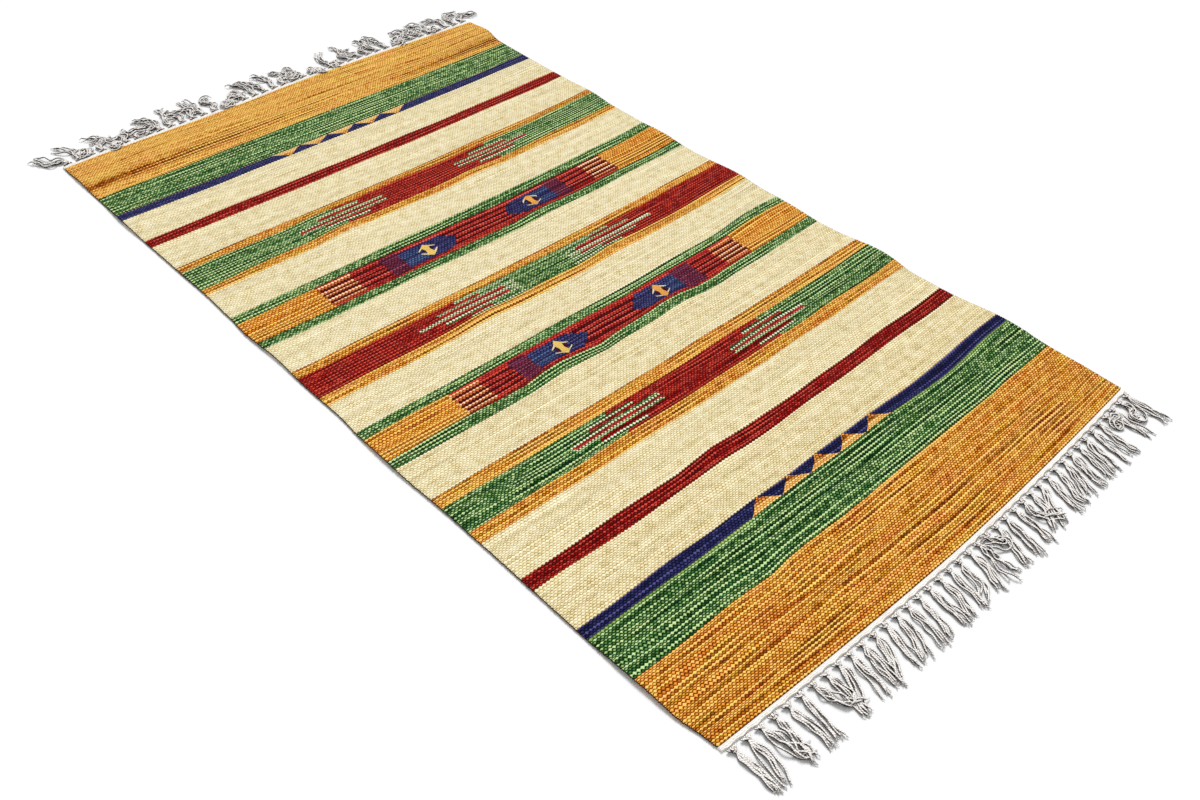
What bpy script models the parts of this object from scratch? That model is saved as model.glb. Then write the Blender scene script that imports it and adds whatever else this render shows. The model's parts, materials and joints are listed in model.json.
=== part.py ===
"""A flat-woven kilim rug lying on a floor.

One thin woven cloth, a narrow white heading along each of its two ends, and outside each heading
a fringe of knotted tassels. Metres, +Z up. X runs across the rug and Y along it, towards its far
end. The floor is z = 0, and the origin is on it, under the middle of the rug, fringes included.
"""

import math
import random
from collections import namedtuple

import bmesh
import bpy
from mathutils import Vector

# Driving dimensions, in metres
CLOTH_WIDTH = 0.900
CLOTH_LENGTH = 1.526  # along its middle; the selvedges are some 25 mm shorter
CLOTH_THICKNESS = 0.003
HEADING_WIDTH = 0.009
HEADING_THICKNESS = 0.0028
SEAM_GAP = 0.0003  # between two pieces that meet
KNOT_ROW_WIDTH = 0.006
KNOT_HEIGHT = 0.005
KNOT_WIDTH = 0.008
TASSEL_COUNT = 41
TASSEL_LENGTH = 0.062  # from the knot to the tip
TASSEL_WIDTH = 0.014
TASSEL_HEIGHT = 0.0035
FULL_WIDTH_SHARE = 0.5  # the share of its length in which a tassel widens to its full width

# How finely each piece is divided
CLOTH_COLUMNS = 22
CLOTH_ROWS = 48
TASSEL_SECTIONS = 4
SHARP_ANGLE = math.radians(40)  # edges that turn by less are shaded smooth

# The rows of weft aren't quite straight. Each line of this table is one row of weft: how far it
# lies from the far end, then how much nearer to the near end its left and right ends lie than
# its middle, and how far the left and right selvedges stand out from half the cloth's width.
SAG_POWER = 1.6  # a row sags by this power of the distance from its middle
Weft = namedtuple("Weft", "along left_sag right_sag left_out right_out")
WEFTS = (
    Weft(0.000, 0.014, 0.006, 0.001, -0.003),
    Weft(0.060, 0.008, 0.003, 0.001, -0.008),
    Weft(0.120, 0.006, -0.008, 0.002, -0.010),
    Weft(0.220, 0.004, -0.012, 0.004, -0.011),
    Weft(0.375, 0.001, -0.012, 0.003, -0.009),
    Weft(0.460, 0.002, -0.015, 0.002, -0.011),
    Weft(0.535, 0.000, -0.016, 0.004, -0.011),
    Weft(0.585, -0.001, -0.011, 0.007, -0.010),
    Weft(0.665, -0.004, -0.011, 0.004, -0.012),
    Weft(0.750, -0.003, -0.010, 0.006, -0.006),
    Weft(0.810, -0.001, -0.011, 0.005, -0.008),
    Weft(0.880, 0.000, -0.009, 0.009, -0.006),
    Weft(0.955, -0.003, -0.008, 0.010, -0.010),
    Weft(1.070, -0.006, -0.004, 0.007, 0.000),
    Weft(1.160, -0.004, -0.008, 0.007, -0.005),
    Weft(1.310, -0.003, -0.005, 0.008, 0.003),
    Weft(1.450, -0.004, -0.006, 0.007, 0.003),
    Weft(1.526, -0.015, -0.015, 0.000, 0.001),
)

# Where the far end is drawn in: the place on the cloth, how far round it that reaches, and how far
# its middle is moved towards the far end.
Pull = namedtuple("Pull", "across along half_across half_along far")
PULLS = (Pull(0.300, 0.000, 0.260, 0.090, -0.007),)

# The soft ridges that keep the cloth from lying quite flat. Across is from the left selvedge and
# along is from the far end; each ridge is an ellipse in plan, and fades to nothing at its edge.
Ridge = namedtuple("Ridge", "across along half_across half_along height")
RIDGES = (
    Ridge(0.200, 0.062, 0.330, 0.052, 0.0050),
    Ridge(0.560, 0.058, 0.260, 0.046, 0.0030),
    Ridge(0.905, 0.060, 0.190, 0.060, 0.0080),
    Ridge(-0.010, 0.215, 0.080, 0.070, 0.0025),
    Ridge(0.915, 0.395, 0.110, 0.080, 0.0030),
    Ridge(0.915, 0.585, 0.090, 0.060, 0.0025),
    Ridge(-0.015, 0.640, 0.090, 0.090, 0.0020),
    Ridge(0.920, 0.775, 0.110, 0.070, 0.0030),
    Ridge(-0.020, 0.925, 0.100, 0.090, 0.0020),
    Ridge(0.920, 1.075, 0.130, 0.080, 0.0045),
    Ridge(0.920, 1.315, 0.150, 0.090, 0.0050),
    Ridge(-0.015, 1.400, 0.090, 0.100, 0.0030),
)

# How the tassels of each fringe lie: the usual lean of a tassel's tip towards +X, how much that
# drifts along the fringe and changes from one tassel to the next, and the sideways bow of a
# tassel's middle. The first and the last tassel splay out past the selvedges.
Fringe = namedtuple("Fringe", "lean drift scatter bow first_splay last_splay seed")
FAR_FRINGE = Fringe(0.000, 0.006, 0.0025, 0.003, -0.042, 0.042, 11)
NEAR_FRINGE = Fringe(-0.010, 0.006, 0.0025, 0.003, -0.006, 0.000, 29)
DRIFT_WAVES = 2.5  # how many times the lean swings to and fro along a fringe
LEAN_POWER = 1.2  # a tassel leans by this power of the share of its length: more towards its tip

Finish = namedtuple("Finish", "colour roughness")
CLOTH_FINISH = Finish((0.72, 0.50, 0.22, 1.0), 0.92)
HEADING_FINISH = Finish((0.86, 0.83, 0.77, 1.0), 0.90)
FRINGE_FINISH = Finish((0.72, 0.69, 0.64, 1.0), 0.88)


def clear_scene():
    for thing in list(bpy.data.objects):
        bpy.data.objects.remove(thing, do_unlink=True)


def smooth_step(share):
    share = min(max(share, 0.0), 1.0)
    return share * share * (3.0 - 2.0 * share)


def hump(reach):
    """A smooth hump: 1 at its middle, where reach is 0, and 0 from reach 1 outwards."""
    return 0.5 * (1.0 + math.cos(math.pi * min(reach, 1.0)))


def weft_at(along, column):
    """Reads one column of the table of wefts, smoothly between its lines."""
    for upper, lower in zip(WEFTS, WEFTS[1:]):
        if along <= lower.along:
            break
    share = smooth_step((along - upper.along) / (lower.along - upper.along))
    start = getattr(upper, column)
    return start + share * (getattr(lower, column) - start)


def pull_at(across, along):
    total = 0.0
    for pull in PULLS:
        reach = math.hypot(
            (across - pull.across) / pull.half_across, (along - pull.along) / pull.half_along
        )
        total += pull.far * hump(reach)
    return total


def plan_place(across, along):
    """The point (x, y) of the floor under a point of the cloth, before the rug is centred."""
    half = CLOTH_WIDTH / 2
    side = (across - half) / half  # -1 at the left selvedge, 1 at the right one
    if side < 0:
        sag = weft_at(along, "left_sag")
        outward = weft_at(along, "left_out")
    else:
        sag = weft_at(along, "right_sag")
        outward = weft_at(along, "right_out")
    x = side * (half + outward * side * side)
    y = CLOTH_LENGTH / 2 - along - sag * abs(side) ** SAG_POWER + pull_at(across, along)
    return x, y


def lift(across, along):
    """How high the ridges hold the underside of the cloth above the floor."""
    height = 0.0
    for ridge in RIDGES:
        reach = math.hypot(
            (across - ridge.across) / ridge.half_across,
            (along - ridge.along) / ridge.half_along,
        )
        height += ridge.height * hump(reach)
    return height


def end_place(across, outward_distance, far):
    """A point (x, y) of the floor outside one end of the cloth, that distance from the cloth."""
    along = 0.0 if far else CLOTH_LENGTH
    x, y = plan_place(across, along)
    return x, y + (outward_distance if far else -outward_distance)


def end_lift(across, far):
    return lift(across, 0.0 if far else CLOTH_LENGTH)


def material(name, finish):
    made = bpy.data.materials.new(name)
    made.use_nodes = True
    shader = made.node_tree.nodes["Principled BSDF"]
    shader.inputs["Base Color"].default_value = finish.colour
    shader.inputs["Roughness"].default_value = finish.roughness
    shader.inputs["Metallic"].default_value = 0.0
    return made


def finished_object(name, bm, finish):
    """Closes off a mesh in the making: its faces turn outwards, and it becomes an object."""
    bmesh.ops.recalc_face_normals(bm, faces=bm.faces)
    mesh = bpy.data.meshes.new(name)
    bm.to_mesh(mesh)
    bm.free()
    mesh.shade_smooth()
    mesh.set_sharp_from_angle(angle=SHARP_ANGLE)
    made = bpy.data.objects.new(name, mesh)
    made.data.materials.append(material(name + "_finish", finish))
    bpy.context.scene.collection.objects.link(made)
    return made


def sheet(name, columns, rows, underside, thickness, finish):
    """A closed thin sheet; underside(s, t) gives its lower point, where s and t run 0 to 1."""
    bm = bmesh.new()
    layers = []
    for rise in (0.0, thickness):
        layer = []
        for row in range(rows + 1):
            line = []
            for column in range(columns + 1):
                x, y, z = underside(column / columns, row / rows)
                line.append(bm.verts.new((x, y, z + rise)))
            layer.append(line)
        layers.append(layer)
    lower, upper = layers
    for layer in layers:
        for row in range(rows):
            for column in range(columns):
                corners = [layer[row][column], layer[row][column + 1]]
                corners += [layer[row + 1][column + 1], layer[row + 1][column]]
                bm.faces.new(corners)
    rim = [(0, column) for column in range(columns)]
    rim += [(row, columns) for row in range(rows)]
    rim += [(rows, column) for column in range(columns, 0, -1)]
    rim += [(row, 0) for row in range(rows, 0, -1)]
    for (row, column), (next_row, next_column) in zip(rim, rim[1:] + rim[:1]):
        foot = [lower[row][column], lower[next_row][next_column]]
        head = [upper[next_row][next_column], upper[row][column]]
        bm.faces.new(foot + head)
    return finished_object(name, bm, finish)


def make_cloth():
    def underside(s, t):
        across = s * CLOTH_WIDTH
        along = t * CLOTH_LENGTH
        x, y = plan_place(across, along)
        return x, y, lift(across, along)

    return sheet("rug_cloth", CLOTH_COLUMNS, CLOTH_ROWS, underside, CLOTH_THICKNESS, CLOTH_FINISH)


def make_heading(name, far):
    def underside(s, t):
        across = s * CLOTH_WIDTH
        x, y = end_place(across, SEAM_GAP + t * HEADING_WIDTH, far)
        return x, y, end_lift(across, far)

    return sheet(name, CLOTH_COLUMNS, 1, underside, HEADING_THICKNESS, HEADING_FINISH)


def tassel_lean(fringe, index, chance):
    """How far the tip of one tassel lies towards +X from its knot."""
    if index == 0:
        return fringe.first_splay
    if index == TASSEL_COUNT - 1:
        return fringe.last_splay
    turn = 2 * math.pi * DRIFT_WAVES * index / TASSEL_COUNT
    return fringe.lean + fringe.drift * math.sin(turn) + chance.uniform(-1, 1) * fringe.scatter


def tassel_sections(fringe, index, knot_across, far, chance):
    """The sections of one tassel, from near its knot to its tip: left, right, foot and top."""
    lean = tassel_lean(fringe, index, chance)
    bow = chance.uniform(-1, 1) * fringe.bow
    x, y = end_place(knot_across, 2 * SEAM_GAP + HEADING_WIDTH + KNOT_ROW_WIDTH, far)
    outward = Vector((0.0, 1.0 if far else -1.0))
    reach = math.sqrt(TASSEL_LENGTH**2 - lean**2)
    sections = []
    for step in range(1, TASSEL_SECTIONS + 1):
        share = step / TASSEL_SECTIONS
        sideways = lean * share**LEAN_POWER + bow * math.sin(math.pi * share)
        middle = Vector((x + sideways, y)) + outward * reach * share
        swell = smooth_step(share / FULL_WIDTH_SHARE)
        half = (KNOT_WIDTH + (TASSEL_WIDTH - KNOT_WIDTH) * swell) / 2
        slope = Vector((lean, outward.y * reach)).normalized()
        left_to_right = Vector((slope.y, -slope.x)) * outward.y
        foot = end_lift(knot_across, far) * (1.0 - swell)
        top = foot + KNOT_HEIGHT + (TASSEL_HEIGHT - KNOT_HEIGHT) * swell
        sections.append((middle - left_to_right * half, middle + left_to_right * half, foot, top))
    return sections


def make_fringe(name, far, fringe):
    """A comb: a row of knots along the heading, with one flat bent tooth for each tassel."""
    chance = random.Random(fringe.seed)
    bm = bmesh.new()
    pitch = CLOTH_WIDTH / TASSEL_COUNT
    knots = [(index + 0.5) * pitch for index in range(TASSEL_COUNT)]
    stations = [0.0]
    for knot in knots:
        stations += [knot - KNOT_WIDTH / 2, knot + KNOT_WIDTH / 2]
    stations.append(CLOTH_WIDTH)

    inner_edge = 2 * SEAM_GAP + HEADING_WIDTH
    outer_edge = inner_edge + KNOT_ROW_WIDTH
    posts = []
    for across in stations:
        foot = end_lift(across, far)
        corners = []
        for distance, height in (
            (inner_edge, foot),
            (inner_edge, foot + KNOT_HEIGHT),
            (outer_edge, foot + KNOT_HEIGHT),
            (outer_edge, foot),
        ):
            x, y = end_place(across, distance, far)
            corners.append(bm.verts.new((x, y, height)))
        posts.append(corners)

    for index, (here, beyond) in enumerate(zip(posts, posts[1:])):
        on_a_knot = index % 2 == 1
        for side in range(4):
            facing_out = side == 2
            if on_a_knot and facing_out:
                continue
            turn = (side + 1) % 4
            bm.faces.new((here[side], here[turn], beyond[turn], beyond[side]))
    for post in (posts[0], posts[-1]):
        bm.faces.new(post)

    for index, knot in enumerate(knots):
        left_post = posts[2 * index + 1]
        right_post = posts[2 * index + 2]
        ring = [left_post[3], left_post[2], right_post[2], right_post[3]]
        for left, right, foot, top in tassel_sections(fringe, index, knot, far, chance):
            section = [
                bm.verts.new((left.x, left.y, foot)),
                bm.verts.new((left.x, left.y, top)),
                bm.verts.new((right.x, right.y, top)),
                bm.verts.new((right.x, right.y, foot)),
            ]
            for side in range(4):
                turn = (side + 1) % 4
                bm.faces.new((ring[side], ring[turn], section[turn], section[side]))
            ring = section
        bm.faces.new(ring)
    return finished_object(name, bm, FRINGE_FINISH)


def centre_on_origin(pieces):
    """Moves the whole rug so that the middle of its outline in plan is over the origin."""
    places = [vertex.co for piece in pieces for vertex in piece.data.vertices]
    middle = Vector((0.0, 0.0, 0.0))
    for axis in (0, 1):
        values = [place[axis] for place in places]
        middle[axis] = (min(values) + max(values)) / 2
    for piece in pieces:
        for vertex in piece.data.vertices:
            vertex.co -= middle


def main():
    clear_scene()
    pieces = [
        make_cloth(),
        make_heading("heading_far", far=True),
        make_heading("heading_near", far=False),
        make_fringe("fringe_far", far=True, fringe=FAR_FRINGE),
        make_fringe("fringe_near", far=False, fringe=NEAR_FRINGE),
    ]
    centre_on_origin(pieces)


main()
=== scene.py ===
"""A flat-woven kilim rug on a pale studio floor, as it looks: its cloth, headings and fringes.

Metres, +Z up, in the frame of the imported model: X runs across the rug and Y along it, towards its
far end. Places on the cloth are given as across, from its left selvedge, and along, from its far
end. The weave, the stripes and the motifs are worked out bead by bead in the cloth's material.
"""

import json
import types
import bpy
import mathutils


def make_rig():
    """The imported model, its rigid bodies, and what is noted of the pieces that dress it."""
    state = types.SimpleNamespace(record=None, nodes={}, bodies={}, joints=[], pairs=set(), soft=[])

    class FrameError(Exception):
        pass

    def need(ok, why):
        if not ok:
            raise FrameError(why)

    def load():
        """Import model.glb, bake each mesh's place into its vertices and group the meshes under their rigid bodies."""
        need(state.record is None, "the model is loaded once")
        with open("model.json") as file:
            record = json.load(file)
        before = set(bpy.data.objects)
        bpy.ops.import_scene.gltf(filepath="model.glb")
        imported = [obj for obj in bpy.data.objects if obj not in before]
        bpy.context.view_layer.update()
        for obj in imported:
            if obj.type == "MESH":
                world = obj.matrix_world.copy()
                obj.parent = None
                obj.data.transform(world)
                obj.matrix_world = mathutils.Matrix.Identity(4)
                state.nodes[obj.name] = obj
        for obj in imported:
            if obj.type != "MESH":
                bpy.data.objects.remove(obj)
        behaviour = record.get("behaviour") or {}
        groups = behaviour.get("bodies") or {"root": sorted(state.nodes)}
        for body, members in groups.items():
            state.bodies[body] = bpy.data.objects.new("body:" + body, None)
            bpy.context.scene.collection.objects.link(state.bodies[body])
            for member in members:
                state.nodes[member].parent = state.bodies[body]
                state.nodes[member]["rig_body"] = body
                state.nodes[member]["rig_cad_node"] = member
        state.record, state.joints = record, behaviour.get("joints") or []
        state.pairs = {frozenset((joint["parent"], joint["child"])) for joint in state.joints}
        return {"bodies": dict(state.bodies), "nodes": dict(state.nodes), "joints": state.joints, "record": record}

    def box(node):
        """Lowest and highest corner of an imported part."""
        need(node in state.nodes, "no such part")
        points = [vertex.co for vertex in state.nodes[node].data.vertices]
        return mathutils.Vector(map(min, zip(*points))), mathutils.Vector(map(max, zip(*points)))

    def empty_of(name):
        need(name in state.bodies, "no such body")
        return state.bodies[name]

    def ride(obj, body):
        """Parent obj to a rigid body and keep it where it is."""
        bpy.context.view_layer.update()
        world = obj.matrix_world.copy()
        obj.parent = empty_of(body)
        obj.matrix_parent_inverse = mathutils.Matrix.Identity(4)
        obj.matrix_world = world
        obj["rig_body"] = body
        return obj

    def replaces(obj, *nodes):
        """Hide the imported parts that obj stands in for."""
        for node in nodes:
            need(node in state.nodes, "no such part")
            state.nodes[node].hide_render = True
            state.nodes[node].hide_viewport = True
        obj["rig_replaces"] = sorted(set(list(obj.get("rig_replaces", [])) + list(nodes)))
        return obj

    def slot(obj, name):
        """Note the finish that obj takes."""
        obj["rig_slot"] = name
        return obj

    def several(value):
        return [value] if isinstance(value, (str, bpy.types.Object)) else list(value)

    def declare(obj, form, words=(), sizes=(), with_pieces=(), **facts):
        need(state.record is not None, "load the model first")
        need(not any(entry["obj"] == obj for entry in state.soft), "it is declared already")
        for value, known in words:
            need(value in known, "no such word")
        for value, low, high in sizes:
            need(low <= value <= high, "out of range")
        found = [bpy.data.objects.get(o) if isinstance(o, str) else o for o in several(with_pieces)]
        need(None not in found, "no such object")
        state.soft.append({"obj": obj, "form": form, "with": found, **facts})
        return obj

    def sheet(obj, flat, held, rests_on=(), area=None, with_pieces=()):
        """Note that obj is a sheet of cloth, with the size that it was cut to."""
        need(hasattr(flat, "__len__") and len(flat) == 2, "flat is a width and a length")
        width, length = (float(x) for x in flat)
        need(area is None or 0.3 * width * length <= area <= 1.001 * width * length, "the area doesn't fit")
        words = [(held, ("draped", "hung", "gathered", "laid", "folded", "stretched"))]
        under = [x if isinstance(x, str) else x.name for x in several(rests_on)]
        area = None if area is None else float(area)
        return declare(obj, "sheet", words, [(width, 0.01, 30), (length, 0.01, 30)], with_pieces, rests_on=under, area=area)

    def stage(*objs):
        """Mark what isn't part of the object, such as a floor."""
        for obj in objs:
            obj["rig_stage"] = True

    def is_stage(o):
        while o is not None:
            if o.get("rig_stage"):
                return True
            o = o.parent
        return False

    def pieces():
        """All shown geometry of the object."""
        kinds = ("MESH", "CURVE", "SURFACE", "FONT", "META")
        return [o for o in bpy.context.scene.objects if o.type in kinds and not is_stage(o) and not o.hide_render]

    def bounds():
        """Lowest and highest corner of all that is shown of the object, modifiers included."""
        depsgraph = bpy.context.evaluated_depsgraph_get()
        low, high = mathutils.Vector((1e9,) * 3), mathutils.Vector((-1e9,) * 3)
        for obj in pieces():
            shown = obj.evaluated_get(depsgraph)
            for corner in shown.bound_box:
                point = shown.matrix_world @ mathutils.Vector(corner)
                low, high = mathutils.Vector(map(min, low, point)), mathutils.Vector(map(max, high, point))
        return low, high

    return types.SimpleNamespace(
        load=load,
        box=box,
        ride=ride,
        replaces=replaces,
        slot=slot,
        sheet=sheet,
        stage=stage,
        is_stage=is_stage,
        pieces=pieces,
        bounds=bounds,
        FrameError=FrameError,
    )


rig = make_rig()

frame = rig.load()
cad_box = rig.bounds()

import json
import math
import random
from collections import namedtuple

import bpy
import numpy as np
from mathutils import Vector, noise

# Driving dimensions, in metres, the same as the model's own
CLOTH_WIDTH = 0.900
CLOTH_LENGTH = 1.526
CLOTH_THICKNESS = 0.003
HEADING_WIDTH = 0.009
HEADING_THICKNESS = 0.0028
SEAM_GAP = 0.0003
KNOT_ROW_WIDTH = 0.006
TASSEL_COUNT = 41
TASSEL_LENGTH = 0.062

# The weave: a bead of weft shows over every second warp, and the next row's beads lie between
WARP = 0.003  # from one warp to the next
ROW_UNEVENNESS = 0.22  # how much thicker or thinner than its neighbours a row may be
ROW_WAVE = 0.28  # how far a row's edge bends round each bead, as a share of its thickness
ROW_RELIEF = 0.0005  # how far the cloth is drawn in between two rows
BEAD_RELIEF = 0.0006
GAP_SHADE_DEPTH = 1.15  # the painted shade in the gaps round a bead: how much darker a strand is painted there, as a share of its ramp
SELVEDGE_SHADE = 0.0008  # the width of the painted shade along each selvedge, over the turns of weft round the outermost warp
STRAND_STRETCH = 0.13  # the length of weft over which a strand's tone drifts to another

# How the rows of weft sag and how far the selvedges stand out, as in the model
SAG_POWER = 1.6
Weft = namedtuple("Weft", "along left_sag right_sag left_out right_out")
WEFTS = (
    Weft(0.000, 0.014, 0.006, 0.001, -0.003),
    Weft(0.060, 0.008, 0.003, 0.001, -0.008),
    Weft(0.120, 0.006, -0.008, 0.002, -0.010),
    Weft(0.220, 0.004, -0.012, 0.004, -0.011),
    Weft(0.375, 0.001, -0.012, 0.003, -0.009),
    Weft(0.460, 0.002, -0.015, 0.002, -0.011),
    Weft(0.535, 0.000, -0.016, 0.004, -0.011),
    Weft(0.585, -0.001, -0.011, 0.007, -0.010),
    Weft(0.665, -0.004, -0.011, 0.004, -0.012),
    Weft(0.750, -0.003, -0.010, 0.006, -0.006),
    Weft(0.810, -0.001, -0.011, 0.005, -0.008),
    Weft(0.880, 0.000, -0.009, 0.009, -0.006),
    Weft(0.955, -0.003, -0.008, 0.010, -0.010),
    Weft(1.070, -0.006, -0.004, 0.007, 0.000),
    Weft(1.160, -0.004, -0.008, 0.007, -0.005),
    Weft(1.310, -0.003, -0.005, 0.008, 0.003),
    Weft(1.450, -0.004, -0.006, 0.007, 0.003),
    Weft(1.526, -0.015, -0.015, 0.000, 0.001),
)

# The soft ridges in the cloth, as in the model
Ridge = namedtuple("Ridge", "across along half_across half_along height")
RIDGES = (
    Ridge(0.200, 0.062, 0.330, 0.052, 0.0050),
    Ridge(0.560, 0.058, 0.260, 0.046, 0.0030),
    Ridge(0.905, 0.060, 0.190, 0.060, 0.0080),
    Ridge(-0.010, 0.215, 0.080, 0.070, 0.0025),
    Ridge(0.915, 0.395, 0.110, 0.080, 0.0030),
    Ridge(0.915, 0.585, 0.090, 0.060, 0.0025),
    Ridge(-0.015, 0.640, 0.090, 0.090, 0.0020),
    Ridge(0.920, 0.775, 0.110, 0.070, 0.0030),
    Ridge(-0.020, 0.925, 0.100, 0.090, 0.0020),
    Ridge(0.920, 1.075, 0.130, 0.080, 0.0045),
    Ridge(0.920, 1.315, 0.150, 0.090, 0.0050),
    Ridge(-0.015, 1.400, 0.090, 0.100, 0.0030),
)

# Where the rows of weft are drawn towards the far end. The first is the model's own; the others
# are where the motifs' joins or an uneven beat pull at the cloth, and hardly change its outline
Pull = namedtuple("Pull", "across along half_across half_along far")
PULLS = (
    Pull(0.300, 0.000, 0.260, 0.090, -0.007),
    Pull(0.090, 0.194, 0.110, 0.040, 0.002),
    Pull(0.260, 0.462, 0.070, 0.040, 0.006),
    Pull(0.540, 0.462, 0.070, 0.040, 0.004),
    Pull(0.540, 0.620, 0.070, 0.040, 0.003),
    Pull(0.300, 0.780, 0.070, 0.040, 0.004),
    Pull(0.560, 0.780, 0.070, 0.040, 0.005),
    Pull(0.300, 0.935, 0.070, 0.040, 0.005),
    Pull(0.540, 0.935, 0.070, 0.040, 0.005),
    Pull(0.213, 0.940, 0.050, 0.030, -0.003),
    Pull(0.377, 0.940, 0.050, 0.030, -0.004),
    Pull(0.620, 0.945, 0.080, 0.030, -0.005),
    Pull(0.830, 0.872, 0.130, 0.040, 0.007),
    Pull(0.335, 1.198, 0.070, 0.040, 0.0045),
    Pull(0.700, 1.317, 0.150, 0.050, -0.005),
    Pull(0.225, 1.392, 0.060, 0.050, -0.004),
)

# The stripes from the far end to the near end, with the rows of weft in each. A motif has its
# middle that far from the left selvedge
Stripe = namedtuple("Stripe", "yarn width rows lightness motif middle", defaults=(None, None))
STRIPES = (
    Stripe("gold", 0.1280, 39, 0.28),
    Stripe("green", 0.0665, 20, 0.00),
    Stripe("navy", 0.0195, 6, 0.02, "triangles", 0.436),
    Stripe("cream", 0.0705, 23, 0.04),
    Stripe("crimson", 0.0245, 7, -0.09),
    Stripe("cream", 0.0710, 23, 0.04),
    Stripe("gold", 0.0160, 5, 0.00),
    Stripe("green", 0.0540, 18, 0.01, "hatch", 0.442),
    Stripe("gold", 0.0180, 5, 0.04),
    Stripe("cream", 0.0710, 23, 0.06),
    Stripe("green", 0.0200, 6, -0.02),
    Stripe("amber", 0.0580, 16, 0.05, "medallions", 0.440),
    Stripe("green", 0.0195, 6, -0.02),
    Stripe("cream", 0.0670, 22, 0.06),
    Stripe("gold", 0.0165, 5, 0.04),
    Stripe("crimson", 0.0515, 18, -0.02, "hatch", 0.436),
    Stripe("gold", 0.0190, 6, 0.04),
    Stripe("cream", 0.0690, 23, 0.02),
    Stripe("green", 0.0185, 6, -0.02),
    Stripe("amber", 0.0550, 16, 0.05, "medallions", 0.434),
    Stripe("green", 0.0190, 6, -0.02),
    Stripe("cream", 0.0740, 24, 0.00),
    Stripe("gold", 0.0225, 7, 0.06),
    Stripe("green", 0.0535, 18, 0.00, "hatch", 0.441),
    Stripe("gold", 0.0230, 7, 0.05),
    Stripe("cream", 0.0735, 24, -0.02),
    Stripe("crimson", 0.0250, 8, -0.15),
    Stripe("cream", 0.0730, 24, -0.08),
    Stripe("navy", 0.0205, 6, -0.14, "triangles", 0.4385),
    Stripe("green", 0.0755, 23, -0.03),
    Stripe("gold", 0.1335, 40, 0.01),
)
ROW_COUNT = sum(stripe.rows for stripe in STRIPES)

# The triangles, five in a row, with their base on the green stripe
TRIANGLE_COUNT = 5
TRIANGLE_ROWS = 6  # the rows of the stripes that hold them
TRIANGLE_BASE = 0.061
TRIANGLES_REACH = 0.155  # from their middle, to just beyond the last of them

# The hatched bands: how far their long and short teeth reach from the middle of the band, and how
# much that changes from one tooth to the next
TOOTH_ROWS = 2
MIDDLE_TOOTH = 4
LONG_TOOTH = 0.246
LONG_TOOTH_STEP = 0.0207
SHORT_TOOTH = 0.056
SHORT_TOOTH_STEP = 0.0210

# The medallion bands: how far from their middle the parts of each side start, outwards, and how
# far they reach from the band's middle row
MEDALLION_START = 0.048
FIGURE_MIDDLE = 0.1065
PURPLE_START = 0.158
SIDE_RED_START = 0.193
SALMON_START = 0.247
BLOCKS_END = 0.303
MIDDLE_ROW = 7.5
MEDALLION_REACH = 0.0205
BLOCKS_REACH = 0.0250

# Each yarn's colours from its darkest strands to its lightest, in sRGB from 0 to 255, how much its strands differ from
# one another, how blotchy it is, how far its hue drifts, how deep the painted shade in its gaps is, as a share of the
# gap shade depth above, and how much lighter every second row is
Yarn = namedtuple(
    "Yarn", "colours variety blotch hue_drift gap pairs", defaults=(0.6, 0.3, 0.0, 1.0, 0.0)
)
YARNS = {
    "gold": Yarn(((96, 44, 2), (190, 106, 20), (246, 162, 58), (255, 212, 114)), 1.4, 0.3, 0.05),
    "amber": Yarn(
        ((104, 46, 4), (196, 106, 22), (248, 158, 52), (255, 210, 108)), 1.0, 0.3, 0.02, 1.0, 0.55
    ),
    "green": Yarn(((4, 30, 8), (22, 68, 24), (84, 134, 68), (206, 230, 160)), 1.3, 0.3, 0.06),
    "navy": Yarn(((8, 8, 36), (28, 28, 74), (46, 48, 98), (84, 84, 136)), 0.9, 0.5),
    "cream": Yarn(
        ((178, 156, 96), (230, 210, 154), (247, 231, 184), (254, 246, 214)), 0.60, 1.0, 0.02, 0.65
    ),
    "crimson": Yarn(((56, 0, 0), (120, 5, 8), (160, 25, 22), (218, 80, 62)), 1.1, 0.5),
    "maroon": Yarn(((14, 0, 0), (32, 0, 4), (52, 2, 8), (88, 18, 20))),
    "rose": Yarn(((96, 2, 6), (158, 16, 20), (200, 48, 44), (236, 112, 94))),
    "rust": Yarn(((58, 4, 4), (116, 26, 12), (170, 66, 30), (210, 116, 62))),
    "salmon": Yarn(((184, 66, 34), (238, 132, 78), (255, 190, 128), (255, 238, 200))),
    "purple": Yarn(((36, 6, 28), (68, 16, 40), (92, 30, 56), (124, 58, 84)), 0.8),
    "blue": Yarn(((8, 8, 40), (28, 24, 67), (44, 42, 90), (80, 84, 132)), 0.8),
    "mauve": Yarn(((54, 6, 28), (92, 18, 42), (122, 36, 60), (166, 84, 100)), 0.8),
    "steel": Yarn(((12, 26, 60), (32, 50, 96), (54, 76, 122), (94, 118, 154)), 0.8),
    "straw": Yarn(((206, 122, 36), (242, 178, 84), (252, 216, 132), (255, 240, 190))),
    "mint": Yarn(((104, 118, 80), (200, 200, 156), (234, 232, 194), (250, 248, 224))),
    "lime": Yarn(((50, 92, 34), (98, 140, 62), (146, 180, 96), (200, 216, 146))),
}


def smooth_step(share):
    share = min(max(share, 0.0), 1.0)
    return share * share * (3.0 - 2.0 * share)


def hump(reach):
    """A smooth hump: 1 at its middle, where reach is 0, and 0 from reach 1 outwards."""
    return 0.5 * (1.0 + math.cos(math.pi * min(reach, 1.0)))


def weft_at(along, column):
    """Reads one column of the table of wefts, smoothly between its lines."""
    for upper, lower in zip(WEFTS, WEFTS[1:]):
        if along <= lower.along:
            break
    share = smooth_step((along - upper.along) / (lower.along - upper.along))
    start = getattr(upper, column)
    return start + share * (getattr(lower, column) - start)


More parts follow.
